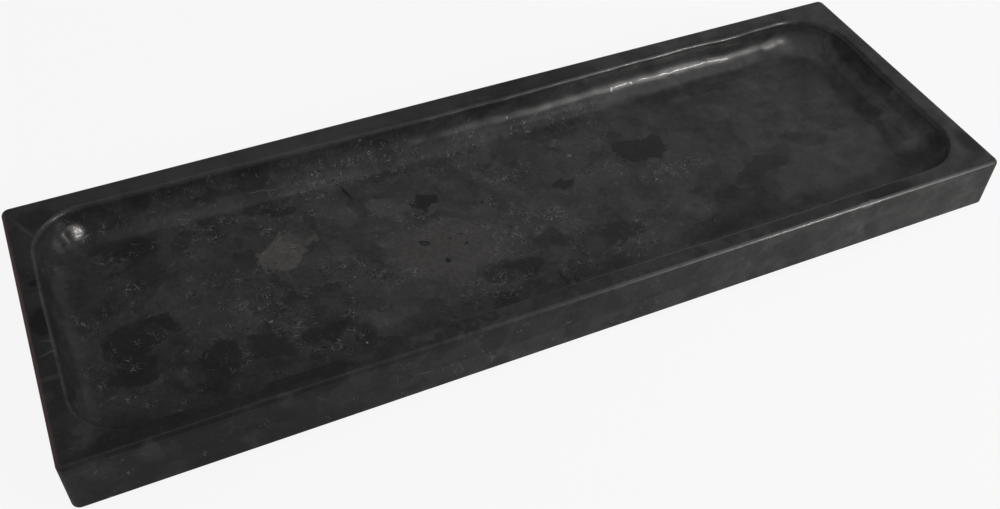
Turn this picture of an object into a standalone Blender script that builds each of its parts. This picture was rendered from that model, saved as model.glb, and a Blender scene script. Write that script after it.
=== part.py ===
# Stone vanity tray: one machined slab with a coved pocket, on four self-adhesive pads.
# Metres, +Z up, +X along the tray, -Y towards the person who stands at the basin.
# The origin is on the table, under the middle of the slab.

import math

import bmesh
import bpy
from mathutils import Vector

# Slab of stone, measured over its flat faces
TRAY_LENGTH = 0.305
TRAY_WIDTH = 0.102
STONE_THICKNESS = 0.0187
CORNER_RADIUS = 0.0025
TOP_EDGE_EASE = 0.0013
UNDERSIDE_EDGE_EASE = 0.0008

# Pocket, with its rims measured from the slab's sides to the pocket's wall
END_RIM_WIDTH = 0.007
FRONT_RIM_WIDTH = 0.0066
BACK_RIM_WIDTH = 0.0082
POCKET_CORNER_RADIUS = 0.016
RIM_EASE = 0.0009
POCKET_WALL_DROP = 0.0006
COVE_RADIUS = 0.0095

# Pads under the slab, and the adhesive disc that holds each one
PAD_DIAMETER = 0.012
PAD_THICKNESS = 0.0016
PAD_TAPER = 0.0005
PAD_EDGE_ROUND = 0.0003
PAD_SIDE_INSET = 0.014
ADHESIVE_DIAMETER = 0.0112
ADHESIVE_THICKNESS = 0.0004
SEAT_GAP = 0.0003

# Facets of the round forms
CORNER_STEPS = 14
EASE_STEPS = 5
COVE_STEPS = 14
PAD_SIDES = 36
PAD_ROUND_STEPS = 3
ROUND_PROFILE = 0.5
SMOOTH_ANGLE = math.radians(30)

# Heights above the table, each worked out from the piece below it
ADHESIVE_BOTTOM = PAD_THICKNESS + SEAT_GAP
STONE_BOTTOM = ADHESIVE_BOTTOM + ADHESIVE_THICKNESS + SEAT_GAP
STONE_TOP = STONE_BOTTOM + STONE_THICKNESS

STONE_COLOUR = (0.028, 0.028, 0.029, 1.0)
PAD_COLOUR = (0.020, 0.020, 0.021, 1.0)
ADHESIVE_COLOUR = (0.62, 0.60, 0.54, 1.0)
STONE_ROUGHNESS = 0.32
PAD_ROUGHNESS = 0.8
ADHESIVE_ROUGHNESS = 0.5


def clear_scene():
    """Removes every object, so that the model starts from an empty scene."""
    for obj in list(bpy.data.objects):
        bpy.data.objects.remove(obj, do_unlink=True)


def make_material(name, colour, roughness):
    """A Principled material of one colour, for a piece that isn't metal."""
    material = bpy.data.materials.new(name)
    material.use_nodes = True
    shader = material.node_tree.nodes["Principled BSDF"]
    shader.inputs["Base Color"].default_value = colour
    shader.inputs["Roughness"].default_value = roughness
    shader.inputs["Metallic"].default_value = 0.0
    return material


def add_object(name, bm, material, origin, location):
    """Turns a finished bmesh into a named object that hangs on the tray's origin."""
    mesh = bpy.data.meshes.new(name)
    bm.to_mesh(mesh)
    bm.free()
    mesh.materials.append(material)
    mesh.shade_smooth()
    mesh.set_sharp_from_angle(angle=SMOOTH_ANGLE)
    obj = bpy.data.objects.new(name, mesh)
    bpy.context.scene.collection.objects.link(obj)
    obj.parent = origin
    obj.location = location
    return obj


def rounded_ring(half_length, half_width, radius, centre_y, height):
    """Points of a rectangle with round corners, counter-clockwise from its right side."""
    corners = [(1, 1, 0), (-1, 1, 1), (-1, -1, 2), (1, -1, 3)]
    reach_x = half_length - radius
    reach_y = half_width - radius
    points = []
    for side_x, side_y, quarter in corners:
        arc_centre = Vector((side_x * reach_x, centre_y + side_y * reach_y, height))
        for step in range(CORNER_STEPS + 1):
            angle = (quarter + step / CORNER_STEPS) * math.pi / 2
            points.append(arc_centre + radius * Vector((math.cos(angle), math.sin(angle), 0)))
    return points


def slab_ring(inset, height):
    """A ring round the slab's outside, inset from its sides."""
    return rounded_ring(TRAY_LENGTH / 2 - inset, TRAY_WIDTH / 2 - inset, CORNER_RADIUS - inset, 0, height)


def pocket_ring(inset, depth):
    """A ring on the pocket's surface, inset from its wall and that far below the slab's top."""
    half_length = TRAY_LENGTH / 2 - END_RIM_WIDTH
    half_width = (TRAY_WIDTH - FRONT_RIM_WIDTH - BACK_RIM_WIDTH) / 2
    centre_y = (FRONT_RIM_WIDTH - BACK_RIM_WIDTH) / 2
    radius = POCKET_CORNER_RADIUS - inset
    return rounded_ring(half_length - inset, half_width - inset, radius, centre_y, STONE_TOP - depth)


def quarter_turn(steps):
    """The angles of a quarter turn in even steps, both ends included."""
    return [step / steps * math.pi / 2 for step in range(steps + 1)]


def outside_rings():
    """Rings up the slab's outside: eased lower edge, plain side, eased top edge."""
    rings = []
    for angle in quarter_turn(EASE_STEPS):
        inset = UNDERSIDE_EDGE_EASE * (1 - math.sin(angle))
        rise = UNDERSIDE_EDGE_EASE * (1 - math.cos(angle))
        rings.append(slab_ring(inset, STONE_BOTTOM + rise))
    for angle in quarter_turn(EASE_STEPS):
        inset = TOP_EDGE_EASE * (1 - math.cos(angle))
        depth = TOP_EDGE_EASE * (1 - math.sin(angle))
        rings.append(slab_ring(inset, STONE_TOP - depth))
    return rings


def inside_rings():
    """Rings down the pocket: eased rim, short plain wall, then the cove into the floor."""
    rings = []
    for angle in quarter_turn(EASE_STEPS):
        inset = RIM_EASE * (math.sin(angle) - 1)
        depth = RIM_EASE * (1 - math.cos(angle))
        rings.append(pocket_ring(inset, depth))
    cove_top = RIM_EASE + POCKET_WALL_DROP
    for angle in quarter_turn(COVE_STEPS):
        inset = COVE_RADIUS * (1 - math.cos(angle))
        depth = cove_top + COVE_RADIUS * math.sin(angle)
        rings.append(pocket_ring(inset, depth))
    return rings


def build_stone(origin, material):
    """The slab: rings from its underside, over the rim and down to the pocket's floor, then capped."""
    bm = bmesh.new()
    rings = [[bm.verts.new(point) for point in ring] for ring in outside_rings() + inside_rings()]
    for lower, upper in zip(rings, rings[1:]):
        for index in range(len(lower)):
            after = (index + 1) % len(lower)
            bm.faces.new((lower[index], lower[after], upper[after], upper[index]))
    bm.faces.new(list(reversed(rings[0])))
    bm.faces.new(rings[-1])
    bmesh.ops.recalc_face_normals(bm, faces=bm.faces)
    return add_object("stone_tray_body", bm, material, origin, (0, 0, 0))


def pad_bmesh():
    """A pad, standing on its smaller face, whose lower edge is rounded."""
    bm = bmesh.new()
    bmesh.ops.create_cone(
        bm,
        cap_ends=True,
        segments=PAD_SIDES,
        radius1=PAD_DIAMETER / 2 - PAD_TAPER,
        radius2=PAD_DIAMETER / 2,
        depth=PAD_THICKNESS,
    )
    lower_edges = [edge for edge in bm.edges if all(vert.co.z < 0 for vert in edge.verts)]
    bmesh.ops.bevel(
        bm,
        geom=lower_edges,
        offset=PAD_EDGE_ROUND,
        segments=PAD_ROUND_STEPS,
        profile=ROUND_PROFILE,
        affect="EDGES",
    )
    return bm


def adhesive_bmesh():
    """A disc of adhesive, a little smaller than the pad under it."""
    bm = bmesh.new()
    bmesh.ops.create_cone(
        bm,
        cap_ends=True,
        segments=PAD_SIDES,
        radius1=ADHESIVE_DIAMETER / 2,
        radius2=ADHESIVE_DIAMETER / 2,
        depth=ADHESIVE_THICKNESS,
    )
    return bm


def build_pads(origin, pad_material, adhesive_material):
    """Four pads near the slab's corners, each under its own adhesive disc."""
    reach_x = TRAY_LENGTH / 2 - PAD_SIDE_INSET
    reach_y = TRAY_WIDTH / 2 - PAD_SIDE_INSET
    for side_y, depth_word in ((-1, "front"), (1, "back")):
        for side_x, side_word in ((-1, "left"), (1, "right")):
            where = f"{depth_word}_{side_word}"
            x, y = side_x * reach_x, side_y * reach_y
            pad_place = (x, y, PAD_THICKNESS / 2)
            adhesive_place = (x, y, ADHESIVE_BOTTOM + ADHESIVE_THICKNESS / 2)
            add_object(f"pad_{where}", pad_bmesh(), pad_material, origin, pad_place)
            add_object(f"pad_adhesive_{where}", adhesive_bmesh(), adhesive_material, origin, adhesive_place)


def main():
    clear_scene()
    origin = bpy.data.objects.new("tray_origin", None)
    bpy.context.scene.collection.objects.link(origin)
    stone = make_material("black_stone", STONE_COLOUR, STONE_ROUGHNESS)
    pad = make_material("pad_rubber", PAD_COLOUR, PAD_ROUGHNESS)
    adhesive = make_material("pad_adhesive", ADHESIVE_COLOUR, ADHESIVE_ROUGHNESS)
    build_stone(origin, stone)
    build_pads(origin, pad, adhesive)


main()
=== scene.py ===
"""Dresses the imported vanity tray: the carved stone slab, its pads, the studio and the camera.

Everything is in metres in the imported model's frame: +X along the tray, -Y to the front, +Z up.
The materials work in millimetres, on Object coordinates.
"""

import logging
import math
from dataclasses import dataclass, field
from enum import Enum

import bmesh
import bpy
import numpy as np
from mathutils import Euler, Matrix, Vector

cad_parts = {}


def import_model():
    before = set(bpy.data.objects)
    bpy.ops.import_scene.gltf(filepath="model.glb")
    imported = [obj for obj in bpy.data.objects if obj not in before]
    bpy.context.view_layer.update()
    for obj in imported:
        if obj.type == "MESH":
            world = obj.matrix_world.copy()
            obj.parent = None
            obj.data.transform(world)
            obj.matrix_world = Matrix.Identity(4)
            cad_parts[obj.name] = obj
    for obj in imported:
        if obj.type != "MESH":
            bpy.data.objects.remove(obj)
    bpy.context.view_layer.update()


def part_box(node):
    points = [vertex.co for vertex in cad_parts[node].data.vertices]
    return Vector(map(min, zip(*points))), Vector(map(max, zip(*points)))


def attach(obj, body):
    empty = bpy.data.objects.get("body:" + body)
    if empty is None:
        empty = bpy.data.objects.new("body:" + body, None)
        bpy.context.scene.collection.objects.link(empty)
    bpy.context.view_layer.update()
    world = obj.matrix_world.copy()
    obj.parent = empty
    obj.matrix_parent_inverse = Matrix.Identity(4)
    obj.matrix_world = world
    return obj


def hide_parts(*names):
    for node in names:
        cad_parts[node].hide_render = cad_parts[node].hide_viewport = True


Socket = bpy.types.NodeSocket

LOG = logging.getLogger("vanity_tray")
BODY = "root"
MM_PER_METRE = 1000.0
PLACES = ("front_left", "front_right", "back_left", "back_right")

WHITE = (1.0, 1.0, 1.0, 1.0)
WARM = (1.0, 0.94, 0.88)

# In metres: how close points are that become one, and how near the camera sees
MERGE_DISTANCE = 1e-6
NEAREST_SEEN = 0.01

# The thin plates that show as strokes: how little they lean, the most that chance takes off their reach,
# and the shares of their half width and of their reach that are solid
PLATE_LEAN = (1.0, 1.0, 0.3)
PLATE_SHORTENING = 0.6
PLATE_SIDE_CORE = 0.5
PLATE_END_CORE = 0.8

# Where a scuff starts to fade in and is full, in units of its reach
SCUFF_FADE = (1.2, 0.7)

# Clasts and patches of flecks run through the slab: the height of their middle and half their height, in mm
DEEP_MIDDLE = 12.0
DEEP_HALF_HEIGHT = 30.0


class MathStep(Enum):
    """The sums that a Math node is used for."""

    ADD = "ADD"
    SUBTRACT = "SUBTRACT"
    MULTIPLY = "MULTIPLY"
    ABSOLUTE = "ABSOLUTE"
    MAXIMUM = "MAXIMUM"


class VectorStep(Enum):
    """The sums that a Vector Math node is used for."""

    ADD = "ADD"
    SUBTRACT = "SUBTRACT"
    MULTIPLY = "MULTIPLY"
    SCALE = "SCALE"
    NORMALIZE = "NORMALIZE"
    LENGTH = "LENGTH"
    DOT_PRODUCT = "DOT_PRODUCT"


class CellReading(Enum):
    """What is read from a field of cells."""

    SHADE = "Color"
    MIDDLE = "Position"
    BORDER = "Distance"


class Signal:
    """A number that a material works out, on which Python's operators stand for Math nodes."""

    def __init__(self, sheet: "ShaderSheet", socket: Socket) -> None:
        """Wraps the output socket that carries the number."""
        self.sheet = sheet
        self.socket = socket

    def __add__(self, other: "Signal | float") -> "Signal":
        """This number plus another."""
        return self.sheet.math(MathStep.ADD, self, other)

    def __sub__(self, other: "Signal | float") -> "Signal":
        """This number minus another."""
        return self.sheet.math(MathStep.SUBTRACT, self, other)

    def __rsub__(self, other: float) -> "Signal":
        """A plain number minus this one."""
        return self.sheet.math(MathStep.SUBTRACT, other, self)

    def __mul__(self, other: "Signal | float") -> "Signal":
        """This number times another."""
        return self.sheet.math(MathStep.MULTIPLY, self, other)

    def __abs__(self) -> "Signal":
        """This number without its sign."""
        return self.sheet.math(MathStep.ABSOLUTE, self)

    __radd__ = __add__
    __rmul__ = __mul__

    def at_least(self, other: "Signal | float") -> "Signal":
        """The larger of this number and another."""
        return self.sheet.math(MathStep.MAXIMUM, self, other)

    def ramp(self, start: float, end: float) -> "Signal":
        """A smooth step from 0 at start to 1 at end; start may be the larger of the two.

        Args:
            start: the value up to which the step is 0.
            end: the value from which the step is 1.

        Returns:
            The step as a number from 0 to 1.
        """
        low, high = min(start, end), max(start, end)
        ends = {"To Min": float(start > end), "To Max": float(start <= end)}
        sockets = {"Value": self, "From Min": low, "From Max": high, **ends}
        settings = {"interpolation_type": "SMOOTHSTEP"}
        node = self.sheet.add("ShaderNodeMapRange", settings, sockets)
        return Signal(self.sheet, node.outputs["Result"])


class ShaderSheet:
    """The node tree of one material or world, written to through a few plain methods."""

    def __init__(self, owner: bpy.types.Material | bpy.types.World) -> None:
        """Empties the owner's node tree."""
        owner.use_nodes = True
        self.tree = owner.node_tree
        self.tree.nodes.clear()

    def add(self, kind: str, settings: dict | None = None, sockets: dict | None = None) -> bpy.types.Node:
        """Adds any node.

        Args:
            kind: the node's type.
            settings: the node's own settings, which are set first.
            sockets: values or links, by the identifier of the input socket.

        Returns:
            The new node.
        """
        node = self.tree.nodes.new(kind)
        for name, value in (settings or {}).items():
            setattr(node, name, value)
        for name, value in (sockets or {}).items():
            target = next(socket for socket in node.inputs if socket.identifier == name)
            if isinstance(value, Signal):
                value = value.socket
            if isinstance(value, Socket):
                self.tree.links.new(value, target)
            else:
                target.default_value = value
        return node

    def math(self, step: MathStep, first: Signal | float, second: Signal | float | None = None) -> Signal:
        """A Math node on one or two numbers."""
        sockets = {"Value": first}
        if second is not None:
            sockets["Value_001"] = second
        node = self.add("ShaderNodeMath", {"operation": step.value}, sockets)
        return Signal(self, node.outputs["Value"])

    def _vector_node(self, step: VectorStep, first: object, second: object | None) -> bpy.types.Node:
        """A Vector Math node on one vector, on two, or on a vector and the number that scales it."""
        sockets = {"Vector": first}
        if second is not None:
            sockets["Scale" if step is VectorStep.SCALE else "Vector_001"] = second
        return self.add("ShaderNodeVectorMath", {"operation": step.value}, sockets)

    def vector(self, step: VectorStep, first: object, second: object | None = None) -> Socket:
        """The vector that a Vector Math node gives."""
        return self._vector_node(step, first, second).outputs["Vector"]

    def dot(self, first: object, second: object) -> Signal:
        """The dot product of two vectors."""
        return Signal(self, self._vector_node(VectorStep.DOT_PRODUCT, first, second).outputs["Value"])

    def length(self, vector: object) -> Signal:
        """The length of a vector."""
        return Signal(self, self._vector_node(VectorStep.LENGTH, vector, None).outputs["Value"])

    def channel(self, vector: object, axis: str) -> Signal:
        """One coordinate of a vector, X, Y or Z."""
        node = self.add("ShaderNodeSeparateXYZ", None, {"Vector": vector})
        return Signal(self, node.outputs[axis])

    def place(self, vector: object, at: tuple, turn: float, size: tuple) -> Socket:
        """Coordinates measured from a place, along turned axes, in units of the size."""
        sockets = {"Vector": vector, "Location": at, "Rotation": (0.0, 0.0, turn), "Scale": size}
        return self.add("ShaderNodeMapping", {"vector_type": "TEXTURE"}, sockets).outputs["Vector"]

    def mix(self, mask: Signal | float, first: Signal | float, second: Signal | float) -> Signal:
        """The first number where the mask is 0, the second where it is 1."""
        sockets = {"Factor_Float": mask, "A_Float": first, "B_Float": second}
        node = self.add("ShaderNodeMix", {"data_type": "FLOAT"}, sockets)
        return Signal(self, node.outputs[0])

    def mix_colour(self, mask: Signal | float, first: object, second: object) -> Socket:
        """The first colour where the mask is 0, the second where it is 1."""
        sockets = {"Factor_Float": mask, "A_Color": first, "B_Color": second}
        node = self.add("ShaderNodeMix", {"data_type": "RGBA"}, sockets)
        return next(socket for socket in node.outputs if socket.identifier == "Result_Color")

    def millimetres(self) -> Socket:
        """Object coordinates in millimetres."""
        coordinates = self.add("ShaderNodeTexCoord").outputs["Object"]
        return self.vector(VectorStep.SCALE, coordinates, MM_PER_METRE)

    def seen_directly(self) -> Signal:
        """1 for what the camera sees without a mirror between, else 0."""
        return Signal(self, self.add("ShaderNodeLightPath").outputs["Is Camera Ray"])

    def noise(self, vector: object, size: float, detail: float = 2.0, rough: float = 0.5) -> bpy.types.Node:
        """A cloudy field whose features are about that many millimetres wide."""
        sockets = {"Vector": vector, "Scale": 1.0 / size, "Detail": detail, "Roughness": rough}
        return self.add("ShaderNodeTexNoise", None, sockets)

    def cloud(self, vector: object, size: float, detail: float = 2.0, rough: float = 0.5) -> Signal:
        """The same cloudy field as a number about one half."""
        return Signal(self, self.noise(vector, size, detail, rough).outputs[0])

    def centred(self, colour: object) -> Socket:
        """A random colour as a vector about zero."""
        return self.vector(VectorStep.SUBTRACT, colour, (0.5, 0.5, 0.5))

    def warp(self, vector: object, size: float, reach: float, detail: float = 2.0) -> Socket:
        """Coordinates pushed about by a cloudy field, by up to half the reach each way."""
        push = self.centred(self.noise(vector, size, detail).outputs["Color"])
        return self.vector(VectorStep.ADD, vector, self.vector(VectorStep.SCALE, push, reach))

    def cells(self, vector: object, size: float, reading: CellReading) -> Socket:
        """Cells about that many millimetres wide: each one's shade or middle, or the way to its border."""
        feature = "DISTANCE_TO_EDGE" if reading is CellReading.BORDER else "F1"
        sockets = {"Vector": vector, "Scale": 1.0 / size}
        return self.add("ShaderNodeTexVoronoi", {"feature": feature}, sockets).outputs[reading.value]

    def shards(self, vector: object, spacing: float, reach: float, half_width: float) -> Signal:
        """Thin, nearly upright plates in random directions, which a face cuts as fine strokes.

        Each cell holds one plate through its middle m, with the normal n from the cell's shade. The plate
        is where |(p - m) . n| is below the half width and |p - m| below a random share of the reach.

        Args:
            vector: the coordinates.
            spacing: how far apart the plates are.
            reach: the half length of the longest plates.
            half_width: half the plates' thickness.

        Returns:
            1 in a plate and 0 outside.
        """
        cell = self.add("ShaderNodeTexVoronoi", None, {"Vector": vector, "Scale": 1.0 / spacing})
        away = self.vector(VectorStep.SUBTRACT, vector, cell.outputs["Position"])
        chance = self.centred(cell.outputs["Color"])
        normal = self.vector(VectorStep.NORMALIZE, self.vector(VectorStep.MULTIPLY, chance, PLATE_LEAN))
        shortened = self.length(away) + self.channel(cell.outputs["Color"], "Z") * (reach * PLATE_SHORTENING)
        side = abs(self.dot(away, normal)).ramp(half_width, half_width * PLATE_SIDE_CORE)
        return side * shortened.ramp(reach, reach * PLATE_END_CORE)

    def radius(self, vector: object, piece: "Clast | Mark | FleckField") -> Signal:
        """How far a point lies from a piece's middle, in units of its half sizes: 1 on its outline."""
        middle = (piece.x, piece.y, piece.z)
        size = (piece.half_length, piece.half_width, piece.half_height)
        return self.length(self.place(vector, middle, math.radians(piece.turn), size))

    def bump(self, height: object, distance: float, strength: float = 1.0) -> Socket:
        """The normal that a field of heights gives."""
        sockets = {"Strength": strength, "Distance": distance, "Height": height}
        return self.add("ShaderNodeBump", None, sockets).outputs["Normal"]

    def surface(self, shader: bpy.types.Node) -> None:
        """Ends the sheet with a surface shader."""
        self.add("ShaderNodeOutputMaterial", None, {"Surface": shader.outputs[0]})

    def principled(self, sockets: dict) -> None:
        """Ends the sheet with a Principled shader that has these values and links."""
        self.surface(self.add("ShaderNodeBsdfPrincipled", None, sockets))


class Hue(Enum):
    """The colour casts of the stone's fragments, each as what it does to a grey."""

    GREY = (0.992, 1.0, 1.01, 1.0)
    CREAM = (1.04, 1.01, 0.95, 1.0)
    ROSE = (1.03, 0.98, 0.99, 1.0)


@dataclass(frozen=True)
class Mottle:
    """A cloudy field: its features' width in millimetres, its detail and roughness, and its smooth step."""

    size: float
    detail: float = 2.0
    rough: float = 0.5
    step: tuple = ()

    def draw(self, sheet: ShaderSheet, vector: object) -> Signal:
        """The field on these coordinates, through its smooth step if it has one."""
        cloud = sheet.cloud(vector, self.size, self.detail, self.rough)
        return cloud.ramp(*self.step) if self.step else cloud


@dataclass(frozen=True)
class Clast:
    """A fragment of another shade that shows in the slab, in millimetres from the slab's middle."""

    x: float
    y: float
    half_length: float
    half_width: float
    turn: float
    shade: float
    blur: float = 0.12
    strength: float = 0.9
    hue: Hue = Hue.GREY
    z: float = DEEP_MIDDLE
    half_height: float = DEEP_HALF_HEIGHT


@dataclass(frozen=True)
class Mark:
    """A vein, pit, stain or painted highlight with a clean outline: an ellipsoid, in millimetres, that tints
    what it crosses.
    """

    x: float
    y: float
    z: float
    half_length: float
    half_width: float
    half_height: float
    turn: float
    shade: float
    blur: float = 0.4
    strength: float = 0.9
    hue: Hue = Hue.GREY


@dataclass(frozen=True)
class FleckField:
    """A patch of floor where light flecks lie close together, in millimetres."""

    x: float
    y: float
    half_length: float
    half_width: float
    turn: float = 0.0
    z: float = DEEP_MIDDLE
    half_height: float = DEEP_HALF_HEIGHT


@dataclass(frozen=True)
class Scuff:
    """A ball of stone, in millimetres, where the polish is dulled: all over, and more in streaks."""

    x: float
    y: float
    z: float
    reach: float
    even: float
    streaked: float

    def dulled(self, sheet: ShaderSheet, vector: object, streaks: Signal) -> Signal:
        """How much the ball dulls the polish, from 0 to 1."""
        local = sheet.place(vector, (self.x, self.y, self.z), 0.0, (self.reach,) * 3)
        return sheet.length(local).ramp(*SCUFF_FADE) * (self.even + streaks * self.streaked)


# The clasts from the lowest to the uppermost, each as the values of Clast in their order
CLASTS = (
    # The first clast is a broad, faint lightening of the middle of the tray, not a fragment
    (25, 0, 75, 14, 0, 0.062, 0.7, 0.28), (-93, 10, 9.5, 5.5, -25, 0.036, 0.35, 0.8, Hue.ROSE),
    (-74, 14.5, 5.0, 3.6, 20, 0.056, 0.2, 0.9, Hue.CREAM),
    (-78.4, 10.4, 8.2, 5.2, -14, 0.066, 0.07, 1.0, Hue.CREAM),
    (-67.5, 12.4, 4.6, 1.9, 4, 0.055, 0.10, 0.9, Hue.CREAM),
    (-33, -19, 9.0, 7.0, 10, 0.037, 0.25, 0.8, Hue.ROSE),
    (-50, -22, 7.0, 4.0, -20, 0.037, 0.4, 0.7, Hue.ROSE), (-28, -8, 20, 13, -12, 0.054, 0.12, 0.9, Hue.ROSE),
    (-14, 3, 5.5, 5.0, 30, 0.048, 0.25, 0.85, Hue.ROSE), (-38, -5, 4.6, 4.6, 10, 0.050, 0.4, 0.8, Hue.CREAM),
    (-27.5, -5.5, 4.0, 4.4, 0, 0.050, 0.4, 0.8, Hue.CREAM), (-38.5, 16.5, 5.5, 3.4, 0, 0.056, 0.15),
    (-28.2, 14.5, 4.2, 2.4, -20, 0.017, 0.08, 0.95), (18.0, 6.6, 6.2, 3.0, -8, 0.018, 0.12),
    (38, 5, 5.2, 6.0, 20, 0.044, 0.25, 0.85), (65, 9, 9.0, 6.5, 10, 0.042, 0.25, 0.8),
    (51, 12, 8.4, 6.0, -20, 0.0185, 0.08, 1.0), (31, 32, 6.5, 5.0, 0, 0.019, 0.35, 0.6),
    (4, -16, 6.5, 5.0, -10, 0.0245, 0.15), (-9, -24, 4.0, 5.5, 0, 0.0175, 0.2, 0.8),
    (14, -12, 4.5, 3.0, -30, 0.049, 0.2, 0.85), (28, -23, 9.0, 4.0, -5, 0.021, 0.25, 0.85),
    (-128, -18, 9.0, 5.5, 15, 0.018, 0.25, 0.85), (-127, -7, 5.5, 6.5, 0, 0.018, 0.2, 0.8),
    (-116, -4, 4.5, 2.6, -25, 0.018, 0.2, 0.8), (-90, -23, 7.5, 7.0, 10, 0.0165, 0.25, 0.85),
    (-103, -22, 4.0, 6.0, 0, 0.016, 0.3, 0.8), (-74, -25, 8.0, 3.2, 5, 0.0155, 0.25, 0.85),
    (-131, -32, 12, 4.0, -20, 0.050, 0.5, 0.7), (-92, -36, 32, 2.6, 0, 0.043, 0.5, 0.6),
    (-118, 30, 7.5, 5.0, -20, 0.0165, 0.35, 0.8), (-72, 28.5, 4.0, 2.2, 0, 0.017, 0.25, 0.8),
    (84, -13, 12, 4.5, 12, 0.0215, 0.15, 0.85), (110, -20, 26, 12.0, 22, 0.046, 0.08, 0.9),
    (63, -28, 12, 4.0, 8, 0.026, 0.15, 0.7), (92, -32, 4.5, 2.4, 0, 0.029, 0.12, 0.8),
    (107, -6, 10, 4.0, -28, 0.029, 0.15, 0.8), (81, 8, 6.0, 3.6, 15, 0.028, 0.2, 0.7),
    (84, 24, 11, 3.6, -10, 0.026, 0.2, 0.7), (71, 33, 9, 3.0, -5, 0.022, 0.25, 0.7),
    (139, 12, 6.5, 13, 0, 0.0235, 0.3, 0.8), (136, -30, 9.0, 5.0, 0, 0.024, 0.3, 0.8),
    (110, 12.5, 2.4, 2.6, 20, 0.046, 0.2), (-108, -48.5, 46, 4.2, 0, 0.017, 0.35, 0.85),
    (-149, -12, 5, 46, 0, 0.021, 0.35, 0.7), (-128, 46.5, 8, 3, 4, 0.037, 0.4, 0.9, Hue.ROSE),
)

# The marks from the lowest to the uppermost, each as the values of Mark in their order
MARKS = (
    (-75.0, 46.8, 21.3, 62, 6.0, 1.5, 0, 0.064, 0.6, 0.5),
    (30.0, 46.8, 21.3, 18, 5.0, 1.5, 0, 0.020, 0.6, 0.5),
    (108.0, -47.9, 21.3, 10, 2.6, 1.2, 2, 0.012, 0.3, 0.85),
    (149.0, -39.5, 21.3, 3.4, 6.5, 1.5, 0, 0.010, 0.4, 0.85),
    # A painted soft highlight in the back cove's right corner
    (134.0, 40.5, 13.4, 9.0, 3.4, 2.6, -6, 0.080, 0.8, 0.6),
    (-149.3, 31.0, 21.3, 3.4, 8.0, 1.5, 0, 0.036, 0.25, 0.7, Hue.ROSE),
    (-143.5, 42.5, 21.3, 5.5, 4.0, 1.5, -10, 0.022, 0.3, 0.7),
    (-147.5, 16.0, 21.3, 1.8, 1.2, 1.2, 0, 0.008, 0.4, 0.8),
    (-148.0, 9.8, 21.3, 3.0, 3.2, 1.5, 0, 0.036, 0.25, 0.7),
    (-147.8, 0.3, 21.3, 3.3, 5.4, 1.5, 0, 0.012, 0.2, 0.85), (-147.6, -7.4, 21.3, 2.2, 0.22, 1.2, -18, 0.085),
    (-147.5, -11.8, 21.3, 3.0, 0.35, 1.2, 12, 0.075),
    (-148.9, -20.6, 21.3, 2.8, 0.9, 1.2, 0, 0.052, 0.4, 0.8, Hue.ROSE),
    (-150.3, -26.5, 21.3, 1.4, 1.8, 1.2, 0, 0.046, 0.4, 0.7, Hue.ROSE),
    (-146.8, -35.8, 21.3, 6.0, 2.6, 1.5, 6, 0.034, 0.25, 0.7),
    (-77.7, 1.5, 10, 5.5, 0.12, 20, -81, 0.105, 0.4, 0.9, Hue.CREAM),
    (-76.5, 5.5, 10, 3.4, 0.11, 20, -62, 0.100, 0.4, 0.7, Hue.CREAM),
    (-74.0, 38.4, 12, 6, 0.10, 20, -5, 0.085, 0.5, 0.7),
    (-58.0, 36.6, 12, 4.5, 0.10, 20, -8, 0.085, 0.5, 0.7),
    # Painted glints: the last mark on the next line and both marks on the line after it, on the back cove's
    # highlight
    (-39.0, 34.4, 12, 3.0, 0.11, 20, -4, 0.100, 0.5, 0.8), (55.3, 40.6, 13.6, 0.45, 0.9, 0.9, 0, 0.50, 0.3),
    (63.3, 40.7, 14.2, 0.55, 0.5, 0.5, 0, 0.60, 0.3), (13.5, 39.7, 14.2, 0.40, 0.5, 0.5, 0, 0.30, 0.3),
    # Two chips on the front top edge: pale broken stone with a painted glint
    (99.0, -50.6, 20.9, 3.8, 1.2, 0.9, 0, 0.150, 0.4), (85.0, -51.0, 20.7, 1.6, 1.0, 0.6, 0, 0.120, 0.4),
    (-49.5, 28.7, 10, 3.4, 0.60, 20, -78, 0.015), (-43.5, -11.2, 10, 3.0, 0.13, 20, 12, 0.130),
    (-88.0, -15.2, 10, 0.60, 0.36, 20, 30, 0.240), (-89.6, -8.5, 10, 0.7, 0.28, 20, 60, 0.180),
    (-64.3, -33.3, 10, 0.42, 0.34, 20, 0, 0.300), (-121.0, 14.0, 10, 1.8, 0.16, 20, -58, 0.150),
    (-98.0, 30.4, 10, 3.8, 0.12, 20, -24, 0.110), (-109.0, 19.0, 10, 1.6, 0.18, 20, 42, 0.120),
    (27.0, 17.3, 10, 0.75, 0.50, 20, 30, 0.150), (33.0, -19.5, 10, 0.42, 0.34, 20, 0, 0.180),
    (-34.2, -2.5, 10, 2.1, 1.25, 20, -42, 0.066, 0.2), (-34.2, -2.5, 10, 1.75, 0.95, 20, -42, 0.016, 0.3),
    (-34.2, -2.5, 10, 0.9, 0.35, 20, -42, 0.050, 0.4), (-30.3, -12.1, 10, 1.0, 0.9, 20, 0, 0.012, 0.3),
    (-22.0, -7.3, 10, 0.8, 0.35, 20, 10, 0.012, 0.3), (-22.0, -3.0, 10, 0.6, 0.35, 20, 0, 0.013, 0.3),
    (-10.0, 8.0, 10, 0.8, 0.40, 20, 20, 0.014, 0.3), (-146.7, 38.9, 21, 5.6, 0.60, 4, -64, 0.058),
    (-53.9, -51.0, 11.2, 2.8, 4.0, 0.22, 0, 0.110),
)

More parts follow.
